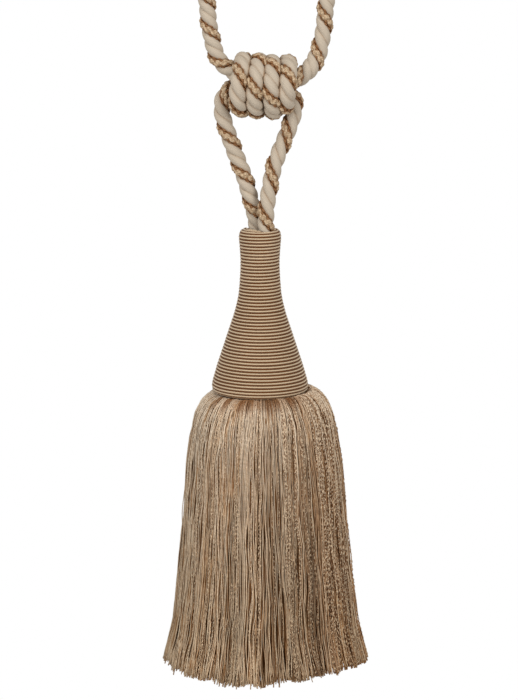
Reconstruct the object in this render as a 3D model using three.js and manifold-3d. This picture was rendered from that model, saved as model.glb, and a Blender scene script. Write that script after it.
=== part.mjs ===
// A curtain tieback: one tassel on a twisted rope, as it hangs from a hook.
// The rope leaves the head of the tassel as two legs, crosses inside a wound binding and closes in a loop.
// Millimetres, +Z up, +X to the right, -Y to the front. The origin is where the hook bears, inside the top of the loop.
import * as THREE from "three";
import { mergeVertices } from "three/addons/utils/BufferGeometryUtils.js";
import Module from "manifold-3d";

const wasm = await Module();
wasm.setup();

// Driving sizes.
const ROPE_RADIUS = 4.5;
const GAP = 0.3; // left between pieces that touch
const SOCKET_GAP = 0.7; // left round the rope where it bends into the binding
const ROPE_SIDES = 10;
const STEP_ON_STRAIGHT = 8; // length of rope for each section of a tube
const SHORTEST_EDGE = 0.05; // cutting leaves slivers, which are closed up below this

// The binding that holds the two strands of the rope together: turns of the same rope round a lying axis.
const BINDING_HEIGHT = -138.7;
const TURN_RADIUS = 14; // from the binding's axis to the middle of the rope
const CORE_RADIUS = 10.2;
const CORE_LEFT = -13.5;
const CORE_RIGHT = 11.5;
const CORE_EDGE = 2;
const WOUND_RADIUS = 4.75; // wound rope spreads until its turns touch
const LENGTHS_OF_WINDING = 10;
const STEPS_IN_LENGTH = 7;

// The wound head.
const HEAD_X = -2.8;
const HEAD_TOP = -218.1; // where the domed top would reach its axis
const HEAD_FOOT = -310.3;
const HEAD_SIDES = 36;
const MOUTH_RADIUS = 5.2; // of each end of the slot in the top where both legs go in
const MOUTH_FLOOR = -222;
const FOOT_RADIUS = 23.4;

// The skirt of cut yarns.
const SKIRT_X = -0.5;
const SKIRT_SIDES = 120;
const SKIRT_FLOOR = -462; // middle of the cut end
const LOCKS = 24; // main locks of yarn round the skirt
const LOCK_DEPTH = 0.8;
const HEM_TEETH = 1.2;
const SHOULDER_TILT = 1.2; // the right shoulder stands this much higher than the middle, the left this much lower

// Routes of the rope's middle line, by hand: x, y, z of each point.
const LEFT_LEG = [
  [-4.7, 4.3, -221.2],
  [-5.3, 4.0, -214.4],
  [-6.7, 3.5, -206.6],
  [-9.5, 2.8, -196.7],
  [-12.9, 2.4, -185.5],
  [-17.4, 2.2, -174.4],
  [-21.1, 2.2, -163.3],
  [-23.9, 2.4, -152.8],
  [-23.2, 3.0, -146.2],
  [-19.4, 3.7, -141.6],
  [-13.0, 4.3, -139.6],
];
const LOOP = [
  [-10.5, -4.4, -136.0],
  [-16.8, -2.2, -131.6],
  [-21.7, -0.8, -128.3],
  [-25.4, -0.2, -124.4],
  [-29.2, 0, -113.7],
  [-31.3, 0, -99.5],
  [-33.8, 0, -72],
  [-33.6, 0, -36],
  [-28.6, 0, -18],
  [-18.4, 0, -3],
  [0, 0, 4.5],
  [18.4, 0, -3],
  [28.8, 0, -18],
  [34.4, 0, -36],
  [35.5, 0, -72],
  [32.9, 0, -99.5],
  [31.1, 0, -113.7],
  [27.2, -0.7, -125.6],
  [19.4, -3.2, -133.9],
  [9.5, -4.7, -137.2],
];
const RIGHT_LEG = [
  [8.5, 3.9, -140.6],
  [13.2, 4.4, -143.2],
  [16.3, 3.4, -148.6],
  [15.4, 2.2, -156.2],
  [12.2, 0.4, -165.0],
  [8.1, -1.2, -174.4],
  [4.5, -2.1, -185.5],
  [2.2, -2.9, -196.7],
  [0.8, -3.3, -207.9],
  [0.1, -3.65, -221.3],
];

// Each turn of the binding, from the right: where it lies along the axis at five places of its front half,
// and how far its crown and its foot stand from the axis.
const TURNS = [
  { bottom: 10.4, low: 11.4, front: 12.2, high: 12.8, top: 12.6, crown: 12.4, foot: 11.0 },
  { bottom: 5.0, low: 3.9, front: 3.2, high: 4.0, top: 3.7, crown: 12.7, foot: 14.0 },
  { bottom: -4.3, low: -5.7, front: -5.9, high: -4.3, top: -3.2, crown: 13.4, foot: 13.3 },
  { bottom: -12.4, low: -14.6, front: -14.8, high: -13.0, top: -12.0, crown: 14.0, foot: 13.0 },
];
// How far the two tucked ends run in under the turns: x, angle from the top towards the front, radius.
const RIGHT_TUCK = [
  { x: 5.5, turn: 235, radius: 6.0 },
  { x: 8.5, turn: 205, radius: 8.8 },
];
const LEFT_TUCK = [
  { x: -13.0, turn: -50, radius: 13.4 },
  { x: -13.2, turn: -95, radius: 12.0 },
  { x: -11.5, turn: -140, radius: 9.0 },
  { x: -8.5, turn: -170, radius: 6.5 },
];

// Outline of the head from its widest place up to the start of the rim.
const HEAD_OUTLINE = [
  { z: -307, r: 26.9 },
  { z: -298.4, r: 24.9 },
  { z: -287, r: 21.3 },
  { z: -275.6, r: 17.6 },
  { z: -264.3, r: 14 },
  { z: -255.7, r: 12.1 },
  { z: -247.3, r: 11.3 },
  { z: -237.1, r: 10.9 },
  { z: -229, r: 11.3 },
  { z: -223.5, r: 11.7 },
  { z: -221.6, r: 11.6 },
  { z: -220.1, r: 11.2 },
];

// Outline of the skirt, from under the head over the shoulder to the hem.
const SKIRT_OUTLINE = [
  { z: -311, r: 22.5 },
  { z: -309.4, r: 27.9 },
  { z: -310.7, r: 31 },
  { z: -313.6, r: 34 },
  { z: -318, r: 36.5 },
  { z: -324, r: 39.1 },
  { z: -333, r: 41 },
  { z: -346, r: 42.9 },
  { z: -361, r: 44.4 },
  { z: -378, r: 45.9 },
  { z: -396.6, r: 47.5 },
  { z: -415, r: 49.4 },
  { z: -432, r: 51.2 },
  { z: -444, r: 52.9 },
  { z: -454, r: 55.5 },
  { z: -464, r: 58.2 },
];

// How high the cut end stands at each angle from +X towards the back, for the last row of the outline.
const HEM = [
  { angle: 0, z: -465.5 },
  { angle: 60, z: -463.5 },
  { angle: 110, z: -464.5 },
  { angle: 180, z: -465.5 },
  { angle: 210, z: -463 },
  { angle: 250, z: -465 },
  { angle: 265, z: -465 },
  { angle: 288, z: -462 },
  { angle: 325, z: -461.5 },
  { angle: 360, z: -465.5 },
];

function material(color, roughness) {
  return new THREE.MeshStandardMaterial({ color, roughness, metalness: 0 });
}

const ROPE_YARN = material(0xcdbfa6, 0.75);
const HEAD_WINDING = material(0xa8814f, 0.65);
const SKIRT_YARN = material(0xa58c6b, 0.6);

function circleShape(radius) {
  const shape = new THREE.Shape();
  for (let side = 0; side < ROPE_SIDES; side++) {
    const angle = (2 * Math.PI * side) / ROPE_SIDES;
    const x = radius * Math.cos(angle);
    const y = radius * Math.sin(angle);
    if (side === 0) shape.moveTo(x, y);
    else shape.lineTo(x, y);
  }
  shape.closePath();
  return shape;
}

function curveThrough(points) {
  return new THREE.CatmullRomCurve3(points.map((p) => new THREE.Vector3(...p)), false, "centripetal");
}

function ropeTube(points, radius, stepLength) {
  const curve = curveThrough(points);
  const steps = Math.ceil(curve.getLength() / stepLength);
  return new THREE.ExtrudeGeometry(circleShape(radius), { extrudePath: curve, steps, bevelEnabled: false });
}

function solidOf(geometry) {
  const bare = geometry.clone();
  bare.deleteAttribute("normal");
  bare.deleteAttribute("uv");
  const merged = mergeVertices(bare, 1e-3);
  return new wasm.Manifold(
    new wasm.Mesh({
      numProp: 3,
      vertProperties: merged.attributes.position.array,
      triVerts: new Uint32Array(merged.index.array),
    }),
  );
}

// Vertices go to a fine grid, where those of a sliver meet, and the faces that this closes are dropped.
function withoutSlivers(solid) {
  const { vertProperties, triVerts } = solid.getMesh();
  const vertices = new Map();
  const positions = [];
  const moved = [];
  for (let vertex = 0; vertex < vertProperties.length; vertex += 3) {
    const place = [...vertProperties.subarray(vertex, vertex + 3)].map((x) => Math.round(x / SHORTEST_EDGE));
    const key = place.join();
    if (!vertices.has(key)) {
      vertices.set(key, vertices.size);
      positions.push(...place.map((x) => x * SHORTEST_EDGE));
    }
    moved.push(vertices.get(key));
  }
  const faces = [];
  for (let face = 0; face < triVerts.length; face += 3) {
    const corners = [...triVerts.subarray(face, face + 3)].map((vertex) => moved[vertex]);
    if (new Set(corners).size === 3) faces.push(...corners);
  }
  const snapped = new wasm.Mesh({
    numProp: 3,
    vertProperties: new Float32Array(positions),
    triVerts: new Uint32Array(faces),
  });
  return new wasm.Manifold(snapped).simplify(SHORTEST_EDGE);
}

// The largest body in a solid alone, so that hollows sealed between the turns are filled.
function filled(solid) {
  return solid.decompose().reduce((largest, body) => (body.volume() > largest.volume() ? body : largest));
}

function geometryOf(solid) {
  const { vertProperties, triVerts } = solid.getMesh();
  const geometry = new THREE.BufferGeometry();
  geometry.setAttribute("position", new THREE.BufferAttribute(vertProperties, 3));
  geometry.setIndex(new THREE.BufferAttribute(triVerts, 1));
  geometry.computeVertexNormals();
  return geometry;
}

function placeOnTurn(x, degrees, radius) {
  const angle = THREE.MathUtils.degToRad(degrees);
  return [x, -radius * Math.sin(angle), BINDING_HEIGHT + radius * Math.cos(angle)];
}

// The winding starts in its right tuck, goes up each front, over the top and down the back to the next bottom.
function windingRoute() {
  const route = RIGHT_TUCK.map((p) => placeOnTurn(p.x, p.turn, p.radius));
  TURNS.forEach((turn, index) => {
    const lowRadius = (turn.foot + TURN_RADIUS) / 2;
    const highRadius = (turn.crown + TURN_RADIUS) / 2;
    route.push(placeOnTurn(turn.bottom, 180, turn.foot));
    route.push(placeOnTurn(turn.low, 135, lowRadius));
    route.push(placeOnTurn(turn.front, 90, TURN_RADIUS));
    route.push(placeOnTurn(turn.high, 45, highRadius));
    route.push(placeOnTurn(turn.top, 0, turn.crown));
    const next = TURNS[index + 1];
    if (!next) return;
    for (const quarter of [1, 2, 3]) {
      const x = THREE.MathUtils.lerp(turn.top, next.bottom, quarter / 4);
      const radius = THREE.MathUtils.lerp(turn.crown, next.foot, quarter / 4);
      route.push(placeOnTurn(x, -45 * quarter, radius));
    }
  });
  return route.concat(LEFT_TUCK.map((p) => placeOnTurn(p.x, p.turn, p.radius)));
}

// The closed tube between two rings of a longer one, as a solid. Neighbouring lengths share a ring exactly.
function tubeLength(rings, first, last) {
  const positions = [];
  const faces = [];
  const at = (ring, side) => 2 + (ring - first) * ROPE_SIDES + (side % ROPE_SIDES);
  positions.push(...rings[first].middle.toArray(), ...rings[last].middle.toArray());
  for (let ring = first; ring <= last; ring++) {
    for (const corner of rings[ring].corners) positions.push(...corner.toArray());
  }
  for (let side = 0; side < ROPE_SIDES; side++) {
    faces.push(0, at(first, side + 1), at(first, side));
    faces.push(1, at(last, side), at(last, side + 1));
    for (let ring = first; ring < last; ring++) {
      faces.push(at(ring, side), at(ring, side + 1), at(ring + 1, side + 1));
      faces.push(at(ring, side), at(ring + 1, side + 1), at(ring + 1, side));
    }
  }
  return new wasm.Manifold(
    new wasm.Mesh({
      numProp: 3,
      vertProperties: new Float32Array(positions),
      triVerts: new Uint32Array(faces),
    }),
  );
}

// The wound rope. Its turns press into each other, so it is joined from half turns, none of which meets itself.
function windingSolid() {
  const curve = curveThrough(windingRoute());
  const steps = LENGTHS_OF_WINDING * STEPS_IN_LENGTH;
  const frames = curve.computeFrenetFrames(steps, false);
  const rings = frames.normals.map((normal, step) => {
    const middle = curve.getPointAt(step / steps);
    const corners = [];
    for (let side = 0; side < ROPE_SIDES; side++) {
      const angle = (2 * Math.PI * side) / ROPE_SIDES;
      const corner = middle.clone();
      corner.addScaledVector(normal, WOUND_RADIUS * Math.cos(angle));
      corner.addScaledVector(frames.binormals[step], WOUND_RADIUS * Math.sin(angle));
      corners.push(corner);
    }
    return { middle, corners };
  });
  const lengths = [];
  for (let first = 0; first < steps; first += STEPS_IN_LENGTH) {
    lengths.push(tubeLength(rings, first, first + STEPS_IN_LENGTH));
  }
  return lengths.reduce((joined, length) => joined.add(length));
}

// A plain barrel that fills the turns, its axis along X.
function coreGeometry() {
  const outline = [
    new THREE.Vector2(0, CORE_LEFT),
    new THREE.Vector2(CORE_RADIUS - CORE_EDGE, CORE_LEFT),
    new THREE.Vector2(CORE_RADIUS, CORE_LEFT + CORE_EDGE),
    new THREE.Vector2(CORE_RADIUS, CORE_RIGHT - CORE_EDGE),
    new THREE.Vector2(CORE_RADIUS - CORE_EDGE, CORE_RIGHT),
    new THREE.Vector2(0, CORE_RIGHT),
  ];
  const geometry = new THREE.LatheGeometry(outline, 24);
  geometry.rotateZ(-Math.PI / 2);
  geometry.translate(0, 0, BINDING_HEIGHT);
  return geometry;
}

// The route with its first and last points moved out by the gap.
function lengthened(points) {
  const route = points.map((p) => new THREE.Vector3(...p));
  for (const [end, next] of [[0, 1], [route.length - 1, route.length - 2]]) {
    const outward = route[end].clone().sub(route[next]).setLength(GAP);
    route[end].add(outward);
  }
  return route.map((p) => p.toArray());
}

function bindingGeometry() {
  let solid = filled(windingSolid().add(solidOf(coreGeometry())));
  for (const route of [LEFT_LEG, LOOP, RIGHT_LEG]) {
    solid = solid.subtract(solidOf(ropeTube(lengthened(route), ROPE_RADIUS + SOCKET_GAP, STEP_ON_STRAIGHT)));
  }
  return geometryOf(withoutSlivers(solid));
}

function headGeometry() {
  const rim = HEAD_OUTLINE[HEAD_OUTLINE.length - 1];
  const widest = HEAD_OUTLINE[0];
  const outline = new THREE.Path();
  outline.moveTo(0, HEAD_FOOT);
  outline.lineTo(FOOT_RADIUS, HEAD_FOOT);
  outline.quadraticCurveTo(widest.r - 0.3, HEAD_FOOT, widest.r, widest.z);
  outline.splineThru(HEAD_OUTLINE.slice(1).map((p) => new THREE.Vector2(p.r, p.z)));
  outline.quadraticCurveTo(rim.r - 0.4, HEAD_TOP - 0.8, rim.r - 1.8, HEAD_TOP - 0.5);
  outline.lineTo(0, HEAD_TOP);
  const geometry = new THREE.LatheGeometry(outline.getPoints(2), HEAD_SIDES);
  geometry.rotateX(Math.PI / 2);
  const ends = [LEFT_LEG[0], RIGHT_LEG[RIGHT_LEG.length - 1]].map(([x, y]) =>
    wasm.Manifold.cylinder(8, MOUTH_RADIUS, MOUTH_RADIUS, 24).translate([x - HEAD_X, y, MOUTH_FLOOR]),
  );
  return geometryOf(withoutSlivers(solidOf(geometry).subtract(wasm.Manifold.hull(ends))));
}

// How far a lock of yarn stands out or in at this angle, from -1 to 1.
function lockWave(angle) {
  const main = Math.cos(LOCKS * angle + 1.1 * Math.sin(5 * angle));
  return 0.7 * main + 0.3 * Math.sin(11 * angle + 0.8);
}

// The height of the cut end at this angle: the table's, eased from row to row, with small teeth.
function hemHeight(angle) {
  const degrees = THREE.MathUtils.radToDeg(angle);
  const after = Math.max(1, HEM.findIndex((row) => row.angle >= degrees));
  const [low, high] = [HEM[after - 1], HEM[after]];
  const share = THREE.MathUtils.smoothstep(degrees, low.angle, high.angle);
  const teeth = 0.6 * Math.sin(17 * angle + 0.5) + 0.4 * Math.cos(29 * angle);
  return THREE.MathUtils.lerp(low.z, high.z, share) + HEM_TEETH * teeth;
}

function skirtPoint(row, angle) {
  const { z, r } = SKIRT_OUTLINE[row];
  const last = SKIRT_OUTLINE.length - 1;
  const share = row / last;
  const lockDepth = LOCK_DEPTH * Math.min(1, Math.max(0, (row - 1) / 5));
  const radius = r + lockDepth * lockWave(angle);
  const tilt = SHOULDER_TILT * Math.cos(angle) * Math.max(0, 1 - 2 * share) * (row > 0 ? 1 : 0);
  const height = row === last ? hemHeight(angle) : z + tilt;
  return [radius * Math.cos(angle), radius * Math.sin(angle), height];
}

function skirtGeometry() {
  const positions = [[0, 0, SKIRT_OUTLINE[0].z]];
  const rows = SKIRT_OUTLINE.length;
  for (let row = 0; row < rows; row++) {
    for (let side = 0; side < SKIRT_SIDES; side++) {
      positions.push(skirtPoint(row, (2 * Math.PI * side) / SKIRT_SIDES));
    }
  }
  positions.push([0, 0, SKIRT_FLOOR]);
  const faces = [];
  const at = (row, side) => 1 + row * SKIRT_SIDES + (side % SKIRT_SIDES);
  for (let side = 0; side < SKIRT_SIDES; side++) {
    faces.push(0, at(0, side), at(0, side + 1));
    for (let row = 0; row < rows - 1; row++) {
      faces.push(at(row, side), at(row + 1, side), at(row + 1, side + 1));
      faces.push(at(row, side), at(row + 1, side + 1), at(row, side + 1));
    }
    faces.push(at(rows - 1, side), positions.length - 1, at(rows - 1, side + 1));
  }
  const geometry = new THREE.BufferGeometry();
  geometry.setAttribute("position", new THREE.Float32BufferAttribute(positions.flat(), 3));
  geometry.setIndex(faces);
  geometry.computeVertexNormals();
  return geometry;
}

function piece(name, geometry, finish, x = 0) {
  const mesh = new THREE.Mesh(geometry, finish);
  mesh.name = name;
  mesh.position.x = x;
  return mesh;
}

const rope = new THREE.Group();
rope.add(piece("rope_loop", ropeTube(LOOP, ROPE_RADIUS, STEP_ON_STRAIGHT), ROPE_YARN));
rope.add(piece("rope_leg_left", ropeTube(LEFT_LEG, ROPE_RADIUS, STEP_ON_STRAIGHT), ROPE_YARN));
rope.add(piece("rope_leg_right", ropeTube(RIGHT_LEG, ROPE_RADIUS, STEP_ON_STRAIGHT), ROPE_YARN));
rope.add(piece("knot_binding", bindingGeometry(), ROPE_YARN));

const tassel = new THREE.Group();
tassel.add(piece("head", headGeometry(), HEAD_WINDING, HEAD_X));
tassel.add(piece("skirt", skirtGeometry(), SKIRT_YARN, SKIRT_X));

const tieback = new THREE.Group();
tieback.add(rope, tassel);
export default tieback;
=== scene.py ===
"""A curtain tieback: a twisted rope with a wound knot, and one tassel on its two ends.

The tassel has a head wound with two cords and a skirt of cut yarns.
"""

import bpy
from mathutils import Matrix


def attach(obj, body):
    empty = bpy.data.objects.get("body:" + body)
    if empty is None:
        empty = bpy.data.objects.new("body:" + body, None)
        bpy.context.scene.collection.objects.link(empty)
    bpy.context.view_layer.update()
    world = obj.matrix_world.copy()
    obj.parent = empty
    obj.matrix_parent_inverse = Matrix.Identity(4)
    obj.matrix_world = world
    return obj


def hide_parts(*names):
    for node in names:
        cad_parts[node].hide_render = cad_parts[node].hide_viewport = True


bl_info = {
    "name": "Curtain tieback",
    "version": (1, 0, 0),
    "blender": (4, 5, 0),
    "location": "3D View > Sidebar > Tieback",
    "description": "Lays up the rope, winds the knot and the head, and hangs the skirt of a curtain tieback",
    "category": "Object",
}

import math

import bpy
import numpy as np
from bpy.props import FloatProperty, FloatVectorProperty, IntProperty, PointerProperty
from mathutils import Vector

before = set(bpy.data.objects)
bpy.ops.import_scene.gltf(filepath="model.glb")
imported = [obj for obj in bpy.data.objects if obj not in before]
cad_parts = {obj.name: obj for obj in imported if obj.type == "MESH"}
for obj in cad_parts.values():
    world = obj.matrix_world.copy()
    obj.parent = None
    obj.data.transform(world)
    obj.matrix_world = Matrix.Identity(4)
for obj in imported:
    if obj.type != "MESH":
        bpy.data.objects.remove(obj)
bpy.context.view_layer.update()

# Tables are in millimetres. +X is to the right, -Y to the front, +Z up, and the hook bears at the origin.
MM = 0.001
BODY = "root"
TURN = 2 * math.pi

# Routes of the rope's middle line: up the left leg, and down the right leg. The loop's rows run from its
# left arm to its right one, and the rope comes through them the other way.
LEFT_LEG = (
    (-4.7, 4.3, -221.2),
    (-5.3, 4.0, -214.4),
    (-6.7, 3.5, -206.6),
    (-9.5, 2.8, -196.7),
    (-12.9, 2.4, -185.5),
    (-17.4, 2.2, -174.4),
    (-21.1, 2.2, -163.3),
    (-23.9, 2.4, -152.8),
    (-23.2, 3.0, -146.2),
    (-19.4, 3.7, -141.6),
    (-13.0, 4.3, -139.6),
)
LOOP = (
    (-10.5, -4.4, -136.0),
    (-16.8, -2.2, -131.6),
    (-21.7, -0.8, -128.3),
    (-25.4, -0.2, -124.4),
    (-29.2, 0, -113.7),
    (-31.3, 0, -99.5),
    (-33.8, 0, -72),
    (-33.6, 0, -36),
    (-28.6, 0, -18),
    (-18.4, 0, -3),
    (0, 0, 4.5),
    (18.4, 0, -3),
    (28.8, 0, -18),
    (34.4, 0, -36),
    (35.5, 0, -72),
    (32.9, 0, -99.5),
    (31.1, 0, -113.7),
    (27.2, -0.7, -125.6),
    (19.4, -3.2, -133.9),
    (9.5, -4.7, -137.2),
)
RIGHT_LEG = (
    (8.5, 3.9, -140.6),
    (13.2, 4.4, -143.2),
    (16.3, 3.4, -148.6),
    (15.4, 2.2, -156.2),
    (12.2, 0.4, -165.0),
    (8.1, -1.2, -174.4),
    (4.5, -2.1, -185.5),
    (2.2, -2.9, -196.7),
    (0.8, -3.3, -207.9),
    (0.1, -3.65, -221.3),
)
# Inside the binding the two strands cross: from the left leg to the loop's right arm, and from its left arm
# to the right leg.
CROSS_TO_RIGHT_ARM = ((-6.0, 3.6, -138.6), (1.6, -0.8, -137.4))
CROSS_TO_RIGHT_LEG = ((-4.5, -3.6, -138.6), (1.8, 0.4, -139.6))
LOOP_TOP = LOOP[10]
LOOP_FOOT = LOOP[-3]

# Places where the golden ply comes to the front, as heights, in the order in which the rope runs.
# From one place to the next it makes the whole number of turns that is nearest to the rope's lay.
FRONTS_LEFT_LEG = (-208.0, -188.0, -167.4, -145.0)
FRONTS_RIGHT_ARM = (-134.6, -122.2, -100.6, -82.0)
FRONTS_LEFT_ARM = (-90.0, -108.2, -126.3)
FRONTS_RIGHT_LEG = (-142.6, -165.9, -188.6, -213.0)

# The binding: turns of the same rope round a lying axis, from the right. Each row has the place along the
# axis at five points of the turn's front half, the distance of its crown and its foot from the axis,
# and the angles, from the top towards the front, at which its golden ply faces out.
BINDING_HEIGHT = -138.7
TURN_RADIUS = 14.0
TURN_COLUMNS = ("bottom", "low", "front", "high", "top", "crown", "foot", "faces_out")
TURNS = (
    (10.4, 11.4, 12.2, 12.8, 12.6, 12.4, 11.0, (61,)),
    (5.0, 3.9, 3.2, 4.0, 3.7, 12.7, 14.0, (110, 35)),
    (-4.3, -5.7, -5.9, -4.3, -3.2, 13.4, 13.3, (170, 90, 15)),
    (-12.4, -14.6, -14.8, -13.0, -12.0, 14.0, 13.0, (151, 61)),
)
# How the ends run in under the turns: place along the axis, angle, distance from the axis.
RIGHT_TUCK = ((5.5, 235, 6.0), (8.5, 205, 8.8))
LEFT_TUCK = ((-13.0, -50, 13.4), (-13.2, -95, 12.0), (-11.5, -140, 9.0), (-8.5, -170, 6.5))
# The filling under the turns: radius and place along the axis, from its left end to its right one.
BINDING_CORE = (
    (7.0, -13.5),
    (9.2, -11.5),
    (12.2, -9.0),
    (12.2, 7.0),
    (9.2, 9.5),
    (7.0, 11.5),
)

# Outline of the wound head, radius and height, from the mouth over the domed top to the underside.
HEAD_X = -2.8
MOUTH_RADIUS = 5.0
HEAD_OUTLINE = (
    (4.6, -218.0),
    (7.4, -218.2),
    (9.2, -218.5),
    (10.5, -219.2),
    (11.2, -220.1),
    (11.6, -221.6),
    (11.7, -223.5),
    (11.3, -229.0),
    (10.9, -237.1),
    (11.3, -247.3),
    (12.1, -255.7),
    (14.0, -264.3),
    (17.6, -275.6),
    (21.3, -287.0),
    (24.9, -298.4),
    (26.9, -307.0),
    (26.1, -309.4),
    (24.8, -310.1),
    (22.6, -310.3),
)

# Outline of the skirt, radius and height, from under the head over the shoulder to the cut end.
SKIRT_X = -0.5
SKIRT_OUTLINE = (
    (22.5, -311.0),
    (27.9, -310.0),
    (31.0, -311.4),
    (34.0, -314.1),
    (36.5, -318.0),
    (39.1, -324.0),
    (41.0, -333.0),
    (42.9, -346.0),
    (44.4, -361.0),
    (45.9, -378.0),
    (47.5, -396.6),
    (49.4, -415.0),
    (51.2, -432.0),
    (52.6, -444.0),
    (55.1, -454.0),
    (57.6, -464.0),
)
LOCKS = 24
LOCK_DEPTH = 0.8
SHOULDER_TILT = 1.1
SKIRT_LEAN = 1.4
# Height of the cut end by angle from +X towards the back, in degrees.
HEM = (
    (0, -465.5),
    (60, -463.5),
    (110, -464.5),
    (180, -465.0),
    (192, -462.2),
    (201, -463.6),
    (214, -464.5),
    (250, -465.0),
    (265, -465.0),
    (288, -462.0),
    (325, -461.5),
    (360, -465.5),
)
HEM_TEETH = 1.2
# Where tufts of yarn get deeper and longer painted shade under the head, in degrees from +X towards the back.
SHADED_TUFTS = (24, 71, 118, 160, 214, 229, 248, 255, 275, 283, 301)

# ---------------------------------------------------------------- lines and tubes


def metres(rows):
    return np.array(rows, float) * MM


def unit(vectors):
    return vectors / np.maximum(np.linalg.norm(vectors, axis=-1, keepdims=True), 1e-12)


def lengths_along(line):
    return np.r_[0, np.cumsum(np.linalg.norm(np.diff(line, axis=0), axis=1))]


def columns_at(wanted, places, rows):
    """Each column of the rows, read between them at the wanted places."""
    return [np.interp(wanted, places, column) for column in rows.T]


def smooth_line(points, step):
    """A centripetal Catmull-Rom line through the points, resampled about a step apart."""
    points = np.asarray(points, float)
    knots = np.vstack([2 * points[0] - points[1], points, 2 * points[-1] - points[-2]])
    per_span = 24
    share = np.linspace(0, 1, per_span, endpoint=False)[:, None]
    spans = []
    for before, start, end, after in zip(knots[:-3], knots[1:-2], knots[2:-1], knots[3:]):
        d0, d1, d2 = (np.sqrt(np.linalg.norm(v)) for v in (start - before, end - start, after - end))
        out = ((start - before) / d0 - (end - before) / (d0 + d1) + (end - start) / d1) * d1
        into = ((end - start) / d1 - (after - start) / (d1 + d2) + (after - end) / d2) * d1
        square = 3 * (end - start) - 2 * out - into
        cube = 2 * (start - end) + out + into
        spans.append(start + out * share + square * share**2 + cube * share**3)
    dense = np.vstack(spans + [points[-1:]])
    along = lengths_along(dense)
    wanted = np.linspace(0, along[-1], max(2, round(along[-1] / step) + 1))
    return np.stack(columns_at(wanted, along, dense), axis=-1)


def tangents_of(lines):
    return unit(np.gradient(lines, axis=-2))


def square_to(outward, tangents):
    """The outward directions made square to the tangents."""
    return unit(outward - np.sum(outward * tangents, axis=-1, keepdims=True) * tangents)


def axes_along(lines, outward):
    """The outward directions square to the lines, and the directions across them."""
    tangents = tangents_of(lines)
    normals = square_to(outward, tangents)
    return normals, np.cross(tangents, normals)


def tube_rings(lines, outward, radius, sides, squash=1.0):
    """Vertices of tubes round many lines: tube, ring, side, xyz. The radius may change along a line."""
    normals, binormals = axes_along(lines, outward)
    angles = np.arange(sides) * TURN / sides
    radius = np.broadcast_to(np.asarray(radius, float), lines.shape[:2])[..., None, None]
    out = np.cos(angles)[:, None] * normals[..., None, :] * radius * squash
    across = np.sin(angles)[:, None] * binormals[..., None, :] * radius
    return lines[..., None, :] + out + across


def tube_mesh(rings):
    """A mesh of closed tubes from their rings. Its UV map has u round a tube and v along it in metres."""
    tubes, count, sides, _ = rings.shape
    index = np.arange(tubes * count * sides).reshape(tubes, count, sides)
    after = np.roll(index, -1, axis=2)
    quads = np.stack([index[:, :-1], after[:, :-1], after[:, 1:], index[:, 1:]], axis=-1).reshape(-1, 4)
    caps = np.concatenate([index[:, 0, ::-1], index[:, -1]])
    mesh = bpy.data.meshes.new("tubes")
    mesh.vertices.add(index.size)
    mesh.vertices.foreach_set("co", rings.astype(np.float32).ravel())
    corners = np.concatenate([quads.ravel(), caps.ravel()])
    mesh.loops.add(len(corners))
    mesh.loops.foreach_set("vertex_index", corners.astype(np.int32))
    starts = np.concatenate([np.arange(len(quads)) * 4, quads.size + np.arange(len(caps)) * sides])
    mesh.polygons.add(len(starts))
    mesh.polygons.foreach_set("loop_start", starts.astype(np.int32))
    mesh.update(calc_edges=True)
    mesh.polygons.foreach_set("use_smooth", np.ones(len(starts), bool))
    steps = np.linalg.norm(np.diff(rings.mean(axis=2), axis=1), axis=2)
    along = np.concatenate([np.zeros((tubes, 1)), np.cumsum(steps, axis=1)], axis=1)
    v = np.broadcast_to(along[..., None], index.shape).ravel()[corners]
    u = np.broadcast_to(np.arange(sides) / sides, index.shape).ravel()[corners]
    wraps = np.broadcast_to(np.arange(sides) == sides - 1, (tubes, count - 1, sides)).ravel()
    u[: quads.size].reshape(-1, 4)[wraps, 1:3] = 1.0
    layer = mesh.uv_layers.new(name="yarn")
    layer.data.foreach_set("uv", np.stack([u, v], axis=1).astype(np.float32).ravel())
    return mesh


def give_value(mesh, name, values):
    """A number for each vertex, for the materials to read."""
    attribute = mesh.attributes.new(name, "FLOAT", "POINT")
    attribute.data.foreach_set("value", np.asarray(values, np.float32).ravel())


def give_colour(mesh, name, colours):
    """A colour for each vertex, for the materials to read."""
    rows = np.concatenate([colours, np.ones((*colours.shape[:-1], 1))], axis=-1)
    attribute = mesh.attributes.new(name, "FLOAT_COLOR", "POINT")
    attribute.data.foreach_set("color", rows.astype(np.float32).ravel())


def lathe_mesh(profile, sides, centre, along_x=False):
    """A turned solid with flat ends. The profile's rows are radius and place along the axis."""
    profile = np.asarray(profile, float)
    radius, place = profile[:, :1], profile[:, 1:]
    angles = np.arange(sides) * TURN / sides
    rings = np.stack(np.broadcast_arrays(radius * np.cos(angles), radius * np.sin(angles), place), axis=-1)
    points = np.vstack([[0, 0, place[0, 0]], rings.reshape(-1, 3), [0, 0, place[-1, 0]]])
    if along_x:
        points = points[:, [2, 0, 1]]
    last = len(points) - 1
    faces = []
    for side in range(sides):
        after = (side + 1) % sides
        faces.append((0, 1 + after, 1 + side))
        faces.append((last, last - sides + side, last - sides + after))
        for ring in range(len(profile) - 1):
            a, b = 1 + ring * sides, 1 + (ring + 1) * sides
            faces.append((a + side, a + after, b + after, b + side))
    mesh = bpy.data.meshes.new("turned")
    mesh.from_pydata((points + centre).tolist(), [], faces)
    mesh.shade_smooth()
    return mesh


def place_piece(name, mesh, material, replaced=()):
    """Puts the mesh in the scene as a piece that rides with the tieback."""
    mesh.name = name
    piece = bpy.data.objects.new(name, mesh)
    bpy.context.scene.collection.objects.link(piece)
    mesh.materials.append(material)
    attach(piece, BODY)
    if replaced:
        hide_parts(*replaced)
    return piece


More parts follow.
